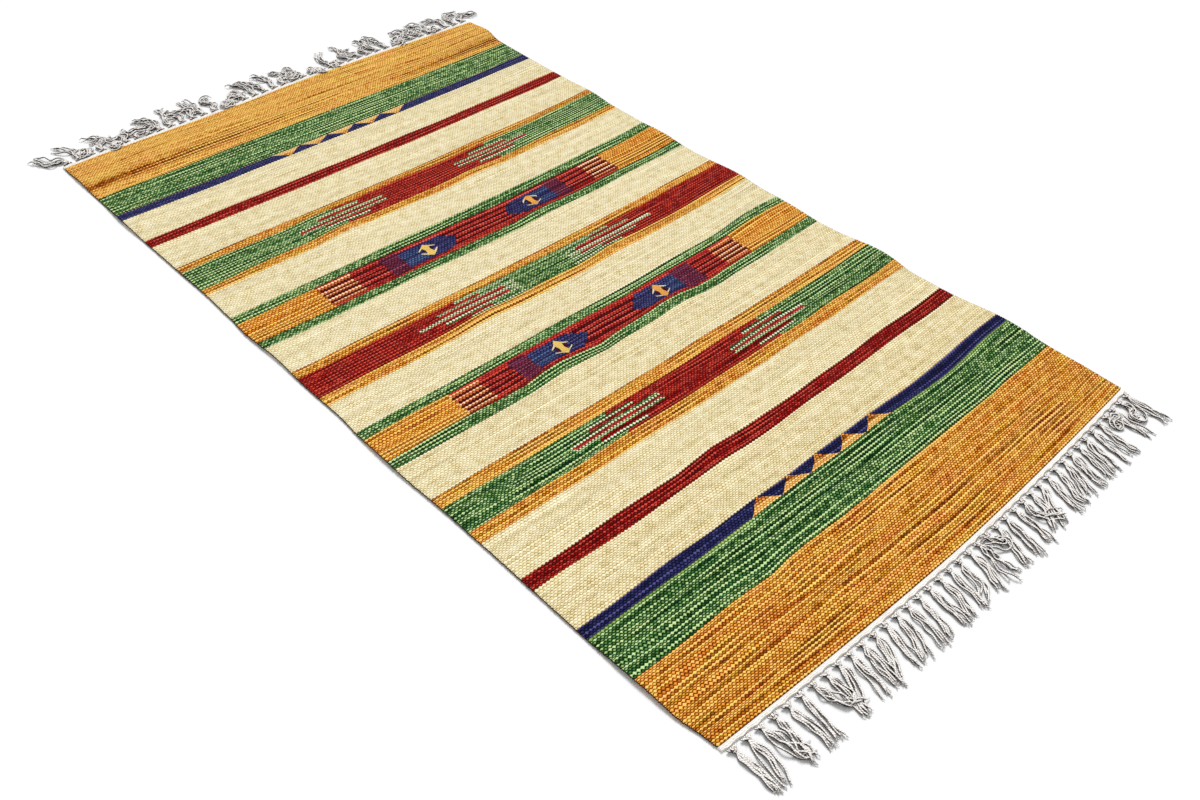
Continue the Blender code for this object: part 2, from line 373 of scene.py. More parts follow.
def pull_at(across, along):
    total = 0.0
    for pull in PULLS:
        reach = math.hypot(
            (across - pull.across) / pull.half_across, (along - pull.along) / pull.half_along
        )
        total += pull.far * hump(reach)
    return total


def plan_place(across, along):
    """The point (x, y) of the floor under a point of the cloth."""
    half = CLOTH_WIDTH / 2
    side = (across - half) / half
    if side < 0:
        sag = weft_at(along, "left_sag")
        outward = weft_at(along, "left_out")
    else:
        sag = weft_at(along, "right_sag")
        outward = weft_at(along, "right_out")
    x = side * (half + outward * side * side)
    y = CLOTH_LENGTH / 2 - along - sag * abs(side) ** SAG_POWER + pull_at(across, along)
    return x, y


def lift(across, along):
    """How high the ridges hold the underside of the cloth above the floor."""
    height = 0.0
    for ridge in RIDGES:
        reach = math.hypot(
            (across - ridge.across) / ridge.half_across,
            (along - ridge.along) / ridge.half_along,
        )
        height += ridge.height * hump(reach)
    return height


def end_place(across, outward_distance, far):
    """A point (x, y) of the floor outside one end of the cloth, that distance from the cloth."""
    along = 0.0 if far else CLOTH_LENGTH
    x, y = plan_place(across, along)
    return x, y + (outward_distance if far else -outward_distance)


def end_lift(across, far):
    return lift(across, 0.0 if far else CLOTH_LENGTH)


# ---- Materials ----------------------------------------------------------------------------------


def linear(colour):
    """An sRGB colour of 0 to 255 as the linear colour that a shader takes."""
    shares = [channel / 255 for channel in colour]
    parts = [s / 12.92 if s <= 0.04045 else ((s + 0.055) / 1.055) ** 2.4 for s in shares]
    return (*parts, 1.0)


class Term:
    """A number that changes over a surface, made by Math nodes. It adds and compares as a number
    does, and a comparison gives 1 where it holds and 0 where it doesn't."""

    def __init__(self, tree, socket):
        self.tree = tree
        self.socket = socket

    def math(self, operation, *others):
        node = self.tree.nodes.new("ShaderNodeMath")
        node.operation = operation
        for entry, value in zip(node.inputs, (self, *others)):
            if isinstance(value, Term):
                self.tree.links.new(value.socket, entry)
            else:
                entry.default_value = value
        return Term(self.tree, node.outputs["Value"])

    def __add__(self, other):
        return self.math("ADD", other)

    def __sub__(self, other):
        return self.math("SUBTRACT", other)

    def __rsub__(self, other):
        return self.math("MULTIPLY_ADD", -1.0, other)

    def __mul__(self, other):
        return self.math("MULTIPLY", other)

    def __truediv__(self, other):
        return self.math("DIVIDE", other)

    def __mod__(self, other):
        return self.math("FLOORED_MODULO", other)

    def __pow__(self, other):
        return self.math("POWER", other)

    def __gt__(self, other):
        return self.math("GREATER_THAN", other)

    def __lt__(self, other):
        return self.math("LESS_THAN", other)

    def __and__(self, other):
        return self.math("MULTIPLY", other)

    def __or__(self, other):
        return self.math("MAXIMUM", other)

    def __abs__(self):
        return self.math("ABSOLUTE")

    def __round__(self):
        return self.math("ROUND")

    def __floor__(self):
        return self.math("FLOOR")

    __radd__ = __add__
    __rmul__ = __mul__


def new_material(name, roughness, sheen, sheen_tint):
    """A cloth material and its shader; the numbers that don't change over it are set here."""
    material = bpy.data.materials.new(name)
    material.use_nodes = True
    shader = material.node_tree.nodes["Principled BSDF"]
    shader.inputs["Roughness"].default_value = roughness
    shader.inputs["Specular IOR Level"].default_value = 0.06
    shader.inputs["Sheen Weight"].default_value = sheen
    shader.inputs["Sheen Roughness"].default_value = 0.5
    shader.inputs["Sheen Tint"].default_value = linear(sheen_tint)
    return material, shader


def map_terms(tree, map_name):
    """The two coordinates of a UV map, as terms."""
    uv = tree.nodes.new("ShaderNodeUVMap")
    uv.uv_map = map_name
    split = tree.nodes.new("ShaderNodeSeparateXYZ")
    tree.links.new(uv.outputs["UV"], split.inputs["Vector"])
    return Term(tree, split.outputs["X"]), Term(tree, split.outputs["Y"])


def vector_of(tree, *terms):
    combine = tree.nodes.new("ShaderNodeCombineXYZ")
    for entry, term in zip(combine.inputs, terms):
        tree.links.new(term.socket, entry)
    return combine.outputs["Vector"]


def cloud(tree, x, y, detail=1.0):
    """Smooth random numbers about 0.5, from the two given coordinates."""
    texture = tree.nodes.new("ShaderNodeTexNoise")
    texture.noise_dimensions = "2D"
    texture.inputs["Scale"].default_value = 1.0
    texture.inputs["Detail"].default_value = detail
    tree.links.new(vector_of(tree, x, y), texture.inputs["Vector"])
    return Term(tree, texture.outputs["Fac"])


def dice(tree, x, y):
    """An unrelated random number from 0 to 1 for each pair of whole numbers."""
    texture = tree.nodes.new("ShaderNodeTexWhiteNoise")
    texture.noise_dimensions = "2D"
    tree.links.new(vector_of(tree, x, y), texture.inputs["Vector"])
    return Term(tree, texture.outputs["Value"])


def ramp(tree, tone, colours):
    """Evenly spaced colours, picked by a term that runs from 0 to 1."""
    node = tree.nodes.new("ShaderNodeValToRGB")
    elements = node.color_ramp.elements
    while len(elements) < len(colours):
        elements.new(0.5)
    for index, colour in enumerate(colours):
        elements[index].position = index / (len(colours) - 1)
        elements[index].color = linear(colour)
    tree.links.new(tone.socket, node.inputs["Fac"])
    return node.outputs["Color"]


def choose(tree, condition, if_true, if_false):
    """A colour socket: if_true where the condition is 1, if_false where it is 0."""
    node = tree.nodes.new("ShaderNodeMix")
    node.data_type = "RGBA"
    tree.links.new(condition.socket, node.inputs["Factor"])
    for entry, colour in ((node.inputs[6], if_false), (node.inputs[7], if_true)):
        if isinstance(colour, bpy.types.NodeSocket):
            tree.links.new(colour, entry)
        else:
            entry.default_value = linear(colour)
    return node.outputs[2]


def relief(tree, height, depth, shader):
    """Bumps the shader's surface by a height term of 0 to 1 times that depth in metres."""
    bump = tree.nodes.new("ShaderNodeBump")
    bump.inputs["Strength"].default_value = 1.0
    bump.inputs["Distance"].default_value = depth
    tree.links.new(height.socket, bump.inputs["Height"])
    tree.links.new(bump.outputs["Normal"], shader.inputs["Normal"])


Beads = namedtuple("Beads", "row across aside height")


def weave(tree, across, rows):
    """The weave's beads: each one spans two warps of its row, and the next row's lie between them.
    rows counts the rows of weft from the far end, and is whole between two rows. Gives the
    bead's row, its middle's place across, how many warps away from that and how high it is."""
    warps = across / WARP
    place = rows - 0.5
    bend = (warps * math.pi).math("COSINE") * (place * math.pi).math("SINE") * ROW_WAVE
    bent = place - bend
    row = round(bent)
    bead = round((warps - row) / 2) * 2.0 + row
    aside = abs(warps - bead)
    over = ((bent - row) * math.pi).math("COSINE")
    beside = (aside * (0.42 * math.pi)).math("COSINE")
    return Beads(row, bead * WARP, aside, (over ** 1.3) * (beside ** 0.25))


def bands():
    """Each stripe with its first row of weft and the row beyond its last."""
    first = 0
    for stripe in STRIPES:
        yield first, first + stripe.rows, stripe
        first += stripe.rows


Place = namedtuple("Place", "inside row offset left far")


def motif_place(row, across, motif):
    """Where a row number and a place across lie among the bands with that motif: whether in one,
    its row there, how far from the middle of the motifs, whether on their left, and whether in
    the far one of the bands."""
    inside = 0.0
    band_row = 0.0
    offset = 0.0
    left = 0.0
    for first, beyond, stripe in bands():
        if stripe.motif == motif:
            here = (row > first - 0.5) & (row < beyond - 0.5)
            inside = here + inside
            band_row = here * (row - first) + band_row
            offset = here * abs(across - stripe.middle) + offset
            left = here * (across < stripe.middle) + left
    return Place(inside, band_row, offset, left, row < ROW_COUNT / 2)


def hatch_motif(tree, beads, yarns, colour):
    """Long thin teeth of the two yarns of a band, lying between each other about its middle. Each
    tooth is two rows, and the teeth of green have a pale row."""
    place = motif_place(beads.row, beads.across, "hatch")
    crimson_field = 0.0
    for first, beyond, stripe in bands():
        if stripe.motif == "hatch" and stripe.yarn == "crimson":
            crimson_field = (beads.row > first - 0.5) & (beads.row < beyond - 0.5)
    green_field = 1.0 - crimson_field
    tooth = math.floor(place.row / TOOTH_ROWS)
    from_middle = abs(tooth - MIDDLE_TOOTH)
    long_reach = LONG_TOOTH - from_middle * LONG_TOOTH_STEP
    short_reach = SHORT_TOOTH + from_middle * SHORT_TOOTH_STEP
    short = tooth % 2
    reach = long_reach * (1.0 - short) + short_reach * short
    middle = place.offset < reach
    colour = choose(tree, place.inside & crimson_field & middle, yarns["green"], colour)
    colour = choose(tree, place.inside & green_field & middle, yarns["crimson"], colour)
    inner_row = ((place.row % TOOTH_ROWS) - 0.5) * (MIDDLE_TOOTH - tooth) > -0.1
    beside_long = place.offset < long_reach + LONG_TOOTH_STEP
    field_tooth = short & (1.0 - middle) & beside_long & green_field
    middle_tooth = (1.0 - short) & middle & crimson_field & (place.offset > SHORT_TOOTH)
    pale = place.inside & inner_row & (field_tooth | middle_tooth) & (beads.aside < 0.5)
    return choose(tree, pale, yarns["mint"], colour)


def lined(tree, row, bright, plain, dark):
    """A repeat of three rows: dark, bright and plain."""
    turn = row % 3
    colour = choose(tree, turn > 0.5, bright, dark)
    return choose(tree, turn > 1.5, plain, colour)


def figure(tree, aside, high, arrow, colour):
    """An upright bar with an arrow head at each end, its pale barbs swept back beside dark notches;
    aside and high are the distances from its middle, in metres."""
    notch = (aside < 0.0105) & (high < 0.0045)
    colour = choose(tree, notch, (66, 12, 30), colour)
    front = high < 0.0168 - aside * 0.72
    barb = front & (high > 0.0122 - aside * 0.55) & (aside < 0.0160)
    colour = choose(tree, barb, (240, 222, 178), colour)
    body = front & (aside < high * 0.25 + 0.0044) & (aside < 0.0085)
    return choose(tree, body, arrow, colour)


def medallion_motif(tree, beads, across, rows, yarns, colour):
    """Blocks of lined colour on both sides of a red middle, each with a pointed blue medallion."""
    place = motif_place(beads.row, beads.across, "medallions")
    offset = place.offset
    high = abs(place.row - MIDDLE_ROW) * 0.0035
    near = 1.0 - place.far
    red = lined(tree, place.row, yarns["rose"], yarns["crimson"], yarns["maroon"])
    tip = place.far * 0.006 + near * (place.left * 0.013 - 0.006)
    tip = tip + (high ** 1.5) * 8.5 + MEDALLION_START
    blue = (offset > tip) & (offset < PURPLE_START) & (high < MEDALLION_REACH)
    pale_rows = (offset > 0.122) & (abs(high - 0.0090) < 0.0040) * 0.8
    medallion = choose(tree, pale_rows, yarns["steel"], yarns["blue"])
    motif = choose(tree, blue, medallion, red)
    purple = lined(tree, place.row, yarns["mauve"], yarns["purple"], yarns["purple"])
    purple_start = PURPLE_START - near * (1.0 - place.left) * 0.009
    motif = choose(tree, offset > purple_start, purple, motif)
    motif = choose(tree, offset > SIDE_RED_START, red, motif)
    salmon = lined(tree, place.row, yarns["salmon"], yarns["rust"], yarns["maroon"])
    motif = choose(tree, offset > SALMON_START, salmon, motif)
    motif = choose(tree, high > BLOCKS_REACH, yarns["crimson"], motif)
    fine = motif_place(rows - 0.5, across, "medallions")
    aside = abs(fine.offset - fine.far * 0.0055 - FIGURE_MIDDLE)
    arrow = choose(tree, place.left, (238, 200, 106), (234, 168, 84))
    figure_high = abs(fine.row - MIDDLE_ROW) * (0.0030 + fine.far * 0.0007)
    motif = figure(tree, aside, figure_high, arrow, motif)
    outer = place.left * (place.far * 0.010 - 0.005) + BLOCKS_END
    return choose(tree, place.inside & (offset < outer), motif, colour)


def triangle_motif(tree, beads, across, rows, yarns, colour):
    """A row of triangles whose points reach away from the green stripe beside the navy. The
    near green stripe's first row is lime on both sides of them."""
    place = motif_place(rows - 0.5, across, "triangles")
    base = TRIANGLE_BASE - place.far * 0.0025
    share = (place.row + 0.5) / TRIANGLE_ROWS
    share = share + place.far * (1.0 - share * 2.0)
    from_middle = abs((place.offset + base / 2) % base - base / 2)
    in_a_row = place.offset < base * (TRIANGLE_COUNT / 2)
    triangle = in_a_row & (from_middle < share * base * 0.5)
    worn = (share + cloud(tree, across * 50.0, rows * 0.7) - 0.75) * 2.4
    straw = choose(tree, worn, yarns["straw"], yarns["gold"])
    inside = motif_place(beads.row, beads.across, "triangles").inside
    colour = choose(tree, inside & triangle, straw, colour)
    for first, beyond, stripe in bands():
        if stripe.motif == "triangles" and first > ROW_COUNT / 2:
            edge_row = (beads.row > beyond - 0.5) & (beads.row < beyond + 0.5)
            clear = abs(beads.across - stripe.middle) > TRIANGLES_REACH
            colour = choose(tree, edge_row & clear, yarns["lime"], colour)
    return colour


def strand_tone(tree, across, row):
    """A random number about 0 for a row's strand, which drifts to another along the row."""
    stretch = across / STRAND_STRETCH + dice(tree, row, row) * 7.0
    start = math.floor(stretch)
    share = stretch - start
    share = share * share * (3.0 - share * 2.0)
    here = dice(tree, start, row)
    beyond = dice(tree, start + 1.0, row)
    return here + (beyond - here) * share - 0.5


def stripe_lightness(beads):
    total = STRIPES[0].lightness
    for (first, beyond, stripe), before in zip(list(bands())[1:], STRIPES):
        change = stripe.lightness - before.lightness
        if change:
            total = (beads.row > first - 0.5) * change + total
    return total


def painted_fold_shade(across, rows):
    """How much painted shade of the fold across the first stripe there is, from 0 to 1: a few rows of that stripe,
    which fade towards the middle of the cloth."""
    middle_row = across * 5.2 + 28.0
    over_rows = (1.0 - abs(rows - middle_row) / 5.2).math("MAXIMUM", 0.0)
    from_middle = (abs(across - 0.47) * 2.6).math("MINIMUM", 1.0)
    return over_rows * from_middle


def cloth_material():
    material, shader = new_material("woven_wool", 0.95, 0.02, (255, 240, 220))
    tree = material.node_tree
    across, rows = map_terms(tree, "Weave")
    beads = weave(tree, across, rows)

    # Each strand is lighter or darker than the next, and the gaps between the beads are darkened with painted shade
    strand = strand_tone(tree, beads.across, beads.row)
    beside = strand_tone(tree, beads.across, beads.row + 1.0)
    slip = round(dice(tree, math.floor(beads.row / 7), beads.row * 0.0))
    pair = ((beads.row + slip) % 2) - 0.5
    pairing = cloud(tree, across * 9.0, beads.row * 0.05) * 1.1 - 0.25
    bead = dice(tree, beads.across * 1000.0, beads.row) - 0.5
    varied = (strand - beside * 0.7) * 0.36 + pair * pairing * 1.2 + bead * 0.34
    every_second = (beads.row % 2) - 0.5
    grain = cloud(tree, across * 330.0, rows * 1.1)
    blotch = (cloud(tree, across * 60.0, rows * 0.22, detail=2.0) + grain) * 0.8 - 0.8
    # painted shade in the gaps round each bead, deepest where the bead is lowest
    gap = (1.0 - beads.height) * GAP_SHADE_DEPTH
    # the fold across the far end's first stripe, darkened with painted shade
    level = 0.87 + stripe_lightness(beads) - painted_fold_shade(across, rows) * 0.70
    drift = cloud(tree, across * 14.0, rows * 0.30, detail=2.0) - 0.5

    yarns = {}
    for name, yarn in YARNS.items():
        tone = level + varied * yarn.variety + blotch * yarn.blotch - gap * yarn.gap
        if yarn.pairs:
            tone = every_second * yarn.pairs + tone
        yarns[name] = ramp(tree, tone, yarn.colours)
        if yarn.hue_drift:
            yarns[name] = tinted(tree, yarns[name], drift * yarn.hue_drift)
    colour = yarns[STRIPES[0].yarn]
    for first, beyond, stripe in bands():
        if first > 0:
            colour = choose(tree, beads.row > first - 0.5, yarns[stripe.yarn], colour)
    colour = hatch_motif(tree, beads, yarns, colour)
    colour = medallion_motif(tree, beads, across, rows, yarns, colour)
    colour = triangle_motif(tree, beads, across, rows, yarns, colour)

    # Painted shade along both selvedges: a dark line where the cloth's edge stands in shade
    to_middle = abs(across - CLOTH_WIDTH / 2)
    colour = choose(tree, to_middle > CLOTH_WIDTH / 2 - SELVEDGE_SHADE, (58, 42, 26), colour)

    tree.links.new(colour, shader.inputs["Base Color"])
    relief(tree, beads.height, BEAD_RELIEF, shader)
    return material


def tinted(tree, colour, turn):
    """The colour with its hue turned by a term about 0."""
    node = tree.nodes.new("ShaderNodeHueSaturation")
    tree.links.new((turn + 0.5).socket, node.inputs["Hue"])
    tree.links.new(colour, node.inputs["Color"])
    return node.outputs["Color"]


def heading_material():
    material, shader = new_material("white_cotton", 0.95, 0.10, (255, 255, 255))
    tree = material.node_tree
    across, along = map_terms(tree, "Weave")
    fibre = cloud(tree, across * 900.0, along * 400.0, detail=2.0)
    patch = cloud(tree, across * 40.0, along * 60.0)
    tone = 0.5 + (fibre - 0.5) * 0.9 + (patch - 0.5) * 0.8
    colours = ((228, 220, 210), (253, 249, 242), (255, 255, 252))
    tree.links.new(ramp(tree, tone, colours), shader.inputs["Base Color"])
    relief(tree, fibre, 0.0004, shader)
    return material


CORD_TWIST = 0.0066  # the length of cord in which its two plies turn once


def cord_material():
    """Twisted cord; its map runs along the cord in metres, and once round it from 0 to 1, with 0.5 on top. Its top is
    painted light and its sides and underside painted shade, as the shade in the gaps between cords, and the grooves
    between its plies are a little darker with painted shade."""
    material, shader = new_material("fringe_cord", 0.95, 0.15, (255, 250, 245))
    tree = material.node_tree
    length, turn = map_terms(tree, "Weave")
    # the plies' turns, for the bump and for a little painted shade in the grooves between the plies
    ply = ((length / CORD_TWIST - turn) * (2 * 2 * math.pi)).math("COSINE")
    fibre = cloud(tree, length * 260.0, turn * 4.0, detail=2.0)
    patch = cloud(tree, length * 30.0, turn * 0.2)
    # painted light on the cord's top and painted shade on its sides and underside
    painted_top_light = 1.0 - abs(turn - 0.5) * 2.0
    tone = painted_top_light * 4.4 - 2.66 + ply * 0.08 + (fibre - 0.5) * 0.4 + (patch - 0.5) * 0.9
    colours = ((16, 8, 4), (112, 88, 72), (250, 238, 228), (255, 252, 248))
    tree.links.new(ramp(tree, tone, colours), shader.inputs["Base Color"])
    relief(tree, ply * 0.5 + fibre * 0.4 + 0.3, 0.0005, shader)
    return material


# ---- Meshes -------------------------------------------------------------------------------------


def made_object(name, points, faces, maps, material, slot):
    """An object of those points and faces; maps holds each point's place in each of its maps."""
    mesh = bpy.data.meshes.new(name)
    mesh.from_pydata(points, [], faces)
    corners = np.zeros(len(mesh.loops), np.int32)
    mesh.loops.foreach_get("vertex_index", corners)
    for map_name, places in maps.items():
        layer = mesh.uv_layers.new(name=map_name)
        layer.data.foreach_set("uv", np.asarray(places, np.float32)[corners].ravel())
    mesh.shade_smooth()
    mesh.materials.append(material)
    made = bpy.data.objects.new(name, mesh)
    bpy.context.scene.collection.objects.link(made)
    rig.ride(made, "root")
    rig.slot(made, slot)
    return made


def closed_sheet(stations, lines, lower, upper):
    """Points and faces of a closed thin sheet, and each point's (station, line). stations are its
    places across; lower and upper give a point of its underside and of its top on a line."""
    points = []
    places = []
    for surface in (lower, upper):
        for line in lines:
            for across in stations:
                points.append(surface(across, line))
                places.append((across, line))
    width = len(stations)
    layer = width * len(lines)
    faces = []
    for row in range(len(lines) - 1):
        for column in range(width - 1):
            here = row * width + column
            faces.append((here, here + 1, here + width + 1, here + width))
            top = here + layer
            faces.append((top, top + width, top + width + 1, top + 1))
    last = (len(lines) - 1) * width
    rim = list(range(width - 1))
    rim += [row * width + width - 1 for row in range(len(lines) - 1)]
    rim += [last + column for column in range(width - 1, 0, -1)]
    rim += [row * width for row in range(len(lines) - 1, 0, -1)]
    for here, beyond in zip(rim, rim[1:] + rim[:1]):
        faces.append((beyond, here, here + layer, beyond + layer))
    return points, faces, places


def edge_stations():
    """Places across the cloth: close together by the selvedges, where the edge is round."""
    edge = [0.0, 0.0012, 0.0030, 0.0060]
    inner = np.linspace(0.015, CLOTH_WIDTH - 0.015, 25)
    return edge + list(inner) + [CLOTH_WIDTH - place for place in reversed(edge)]


def roundness(across):
    """How full the cloth is there: 1 over nearly all of it and less at its round selvedges."""
    inward = min(across, CLOTH_WIDTH - across)
    return 0.45 + 0.55 * math.sqrt(smooth_step(inward / 0.004))


Line = namedtuple("Line", "along row full left_turn right_turn")


def weft_lines():
    """The lines of the cloth's mesh: one between every two rows of weft and two on each row. row
    is whole between two rows, full is 1 on a row and 0 between two, and a row's turns are how far
    its loops round the outer warps stand out."""
    chance = random.Random(3)
    lines = []
    start = 0.0
    row = 0
    for stripe in STRIPES:
        sizes = [1.0 + chance.uniform(-1.0, 1.0) * ROW_UNEVENNESS for _ in range(stripe.rows)]
        for size in sizes:
            thickness = stripe.width * size / sum(sizes)
            turns = (chance.uniform(0.0002, 0.0010), chance.uniform(0.0002, 0.0010))
            lines.append(Line(start, row, 0.0, 0.0, 0.0))
            lines.append(Line(start + 0.3 * thickness, row + 0.3, 1.0, *turns))
            lines.append(Line(start + 0.7 * thickness, row + 0.7, 1.0, *turns))
            start += thickness
            row += 1
    lines.append(Line(CLOTH_LENGTH, ROW_COUNT, 0.0, 0.0, 0.0))
    return lines


def make_cloth(shift):
    def place(across, line):
        to_end = min(line.along, CLOTH_LENGTH - line.along)
        swell = noise.noise(Vector((across * 9, line.along * 70, 4.0)))
        along = line.along + 0.0030 * swell * smooth_step(to_end / 0.02)
        x, y = plan_place(across, along)
        if across < 0.002:
            x -= line.left_turn
        if across > CLOTH_WIDTH - 0.002:
            x += line.right_turn
        return x + shift.x, y + shift.y

    def unevenness(across, along):
        wave = noise.noise(Vector((across * 16, along * 30, 0.3)))
        ripple = noise.noise(Vector((across * 5, along * 9, 7.7)))
        return 0.0004 + 0.0004 * wave + 0.0006 * max(0.0, ripple)

    def lower(across, line):
        height = lift(across, line.along) + max(0.0, unevenness(across, line.along))
        edge = (1.0 - roundness(across)) * CLOTH_THICKNESS * 0.5
        return (*place(across, line), height + edge + (1.0 - line.full) * ROW_RELIEF)

    def upper(across, line):
        x, y, z = lower(across, line)
        drawn_in = 2 * (1.0 - line.full) * ROW_RELIEF
        return x, y, z + CLOTH_THICKNESS * roundness(across) - drawn_in

    points, faces, places = closed_sheet(edge_stations(), weft_lines(), lower, upper)
    maps = {
        "Weave": [(across, line.row) for across, line in places],
        "OFBake": [(across / CLOTH_WIDTH, line.along / CLOTH_LENGTH) for across, line in places],
    }
    cloth = made_object("woven_cloth", points, faces, maps, cloth_material(), "woven_cloth")
    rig.replaces(cloth, "rug_cloth")
    return cloth


HEADING_ROWS = 3  # rows of twining in a heading


def make_heading(name, far, shift, material):
    """The white band along one end: rows of twined beads, each row lying between the others."""
    stations = np.linspace(0.0, CLOTH_WIDTH, 601)
    steps = np.linspace(0.0, HEADING_WIDTH, 4 * HEADING_ROWS + 1)
    row_width = HEADING_WIDTH / HEADING_ROWS
    bead = 0.0058

    def relief_at(across, outward):
        row = min(int(outward / row_width), HEADING_ROWS - 1)
        over_row = math.sin(math.pi * (outward / row_width - row))
        over_bead = abs(math.sin(math.pi * (across / bead + 0.5 * row + outward * 60)))
        return max(0.0, over_row) ** 0.6 * over_bead**0.6

    def edge_wave(across, outward):
        wave = noise.noise(Vector((across * 45, 3.0 if far else 8.0, 0.0)))
        from_knot = abs(math.cos(math.pi * across * TASSEL_COUNT / CLOTH_WIDTH))
        return (0.0013 * wave - 0.0022 * from_knot) * outward / HEADING_WIDTH

    def lower(across, outward):
        along_edge = SEAM_GAP + outward + edge_wave(across, outward)
        x, y = end_place(across, along_edge, far)
        return x + shift.x, y + shift.y, end_lift(across, far) + 0.0004

    def upper(across, outward):
        x, y, z = lower(across, outward)
        inward = min(outward, HEADING_WIDTH - outward)
        full = 0.35 + 0.65 * math.sqrt(smooth_step(inward / 0.002))
        body = HEADING_THICKNESS - 0.0012
        return x, y, z + body * full + 0.0011 * relief_at(across, outward)

    points, faces, places = closed_sheet(stations, steps, lower, upper)
    if far:
        faces = [face[::-1] for face in faces]
    maps = {"Weave": places}
    heading = made_object(name + "_band", points, faces, maps, material, "heading_cotton")
    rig.replaces(heading, name)
    return heading


# ---- Fringes ------------------------------------------------------------------------------------

# How the tassels lie, as in the model
Fringe = namedtuple("Fringe", "lean drift scatter bow first_splay last_splay seed")
FAR_FRINGE = Fringe(0.000, 0.006, 0.0025, 0.003, -0.042, 0.042, 11)
NEAR_FRINGE = Fringe(-0.010, 0.006, 0.0025, 0.003, -0.006, 0.000, 29)
DRIFT_WAVES = 2.5

CORD_RADIUS = 0.0013
# How loosely a tassel's cords lie: how far its tip strays from the model's towards +X and about
# that, in metres; in radians the hook of its tip, its winding and what one cord adds to each; how
# high its cords ride over each other, in cord radii; and half the width of a narrow and a wide one
Curl = namedtuple("Curl", "lean sway hook wind own ride narrow wide")
FAR_CURL = Curl(0.000, 0.004, 1.15, 1.20, 0.22, 2.8, 0.0040, 0.0070)
NEAR_CURL = Curl(-0.007, 0.008, 0.15, 0.16, 0.07, 1.3, 0.0042, 0.0064)
NEAR_TANGLES = (2, 3, 6, 21, 22, 26, 37, 39)  # tassels that curl as the far end's do
MIXED_SHARE = 0.4  # the share of the tassels whose cords change places in the knot
CORD_SIDES = 6
CORD_STEP = 0.00125
KNOT_MIDDLE = 0.0042  # from the heading to the middle of a knot
KNOT_HEIGHT = 0.0033
WARPS_HALF_WIDTH = 0.0065  # how far the warps of one tassel spread where they leave the heading


class Tubes:
    """Many tubes gathered into one mesh."""

    def __init__(self):
        self.points = []
        self.faces = []
        self.coordinates = []
        self.count = 0

    def add(self, route, radii, sides, lobes=0.0):
        """A tube along a route of points. Two lobes of that size turn round it as twisted plies."""
        route = np.asarray(route)
        ahead = np.gradient(route, axis=0)
        ahead /= np.linalg.norm(ahead, axis=1)[:, None]
        aside = np.cross(ahead, (0.0, 0.0, 1.0))
        aside /= np.linalg.norm(aside, axis=1)[:, None]
        above = np.cross(aside, ahead)
        steps = np.linalg.norm(np.diff(route, axis=0), axis=1)
        length = np.concatenate(([0.0], np.cumsum(steps)))
        angle = np.arange(sides) * 2 * math.pi / sides - math.pi / 2
        ply = np.cos(2 * (angle[None, :] - 2 * math.pi * length[:, None] / CORD_TWIST))
        radius = np.asarray(radii)[:, None] * (1.0 + lobes * ply)
        out = aside[:, None, :] * np.cos(angle)[None, :, None]
        out = out + above[:, None, :] * np.sin(angle)[None, :, None]
        rings = route[:, None, :] + out * radius[:, :, None]
        start = len(self.points)
        self.points.extend(map(tuple, rings.reshape(-1, 3)))
        self.count += 1
        for section in range(len(route)):
            for side in range(sides):
                place = self.count * 0.37 + length[section]
                self.coordinates.append((place, side / sides))
        for section in range(len(route) - 1):
            ring = start + section * sides
            for side in range(sides):
                turn = (side + 1) % sides
                face = (ring + side, ring + turn, ring + sides + turn, ring + sides + side)
                self.faces.append(face)
        self.faces.append(tuple(range(start + sides - 1, start - 1, -1)))
        end = start + (len(route) - 1) * sides
        self.faces.append(tuple(range(end, end + sides)))

    def made(self, name, material):
        maps = {"Weave": self.coordinates}
        return made_object(name, self.points, self.faces, maps, material, "fringe_cord")


def tassel_lean(fringe, index, chance):
    """How far the tip of one tassel lies towards +X from its knot, as in the model."""
    if index == 0:
        return fringe.first_splay
    if index == TASSEL_COUNT - 1:
        return fringe.last_splay
    turn = 2 * math.pi * DRIFT_WAVES * index / TASSEL_COUNT
    return fringe.lean + fringe.drift * math.sin(turn) + chance.uniform(-1, 1) * fringe.scatter


Way = namedtuple("Way", "lean bow hook wind phase half_width ride")


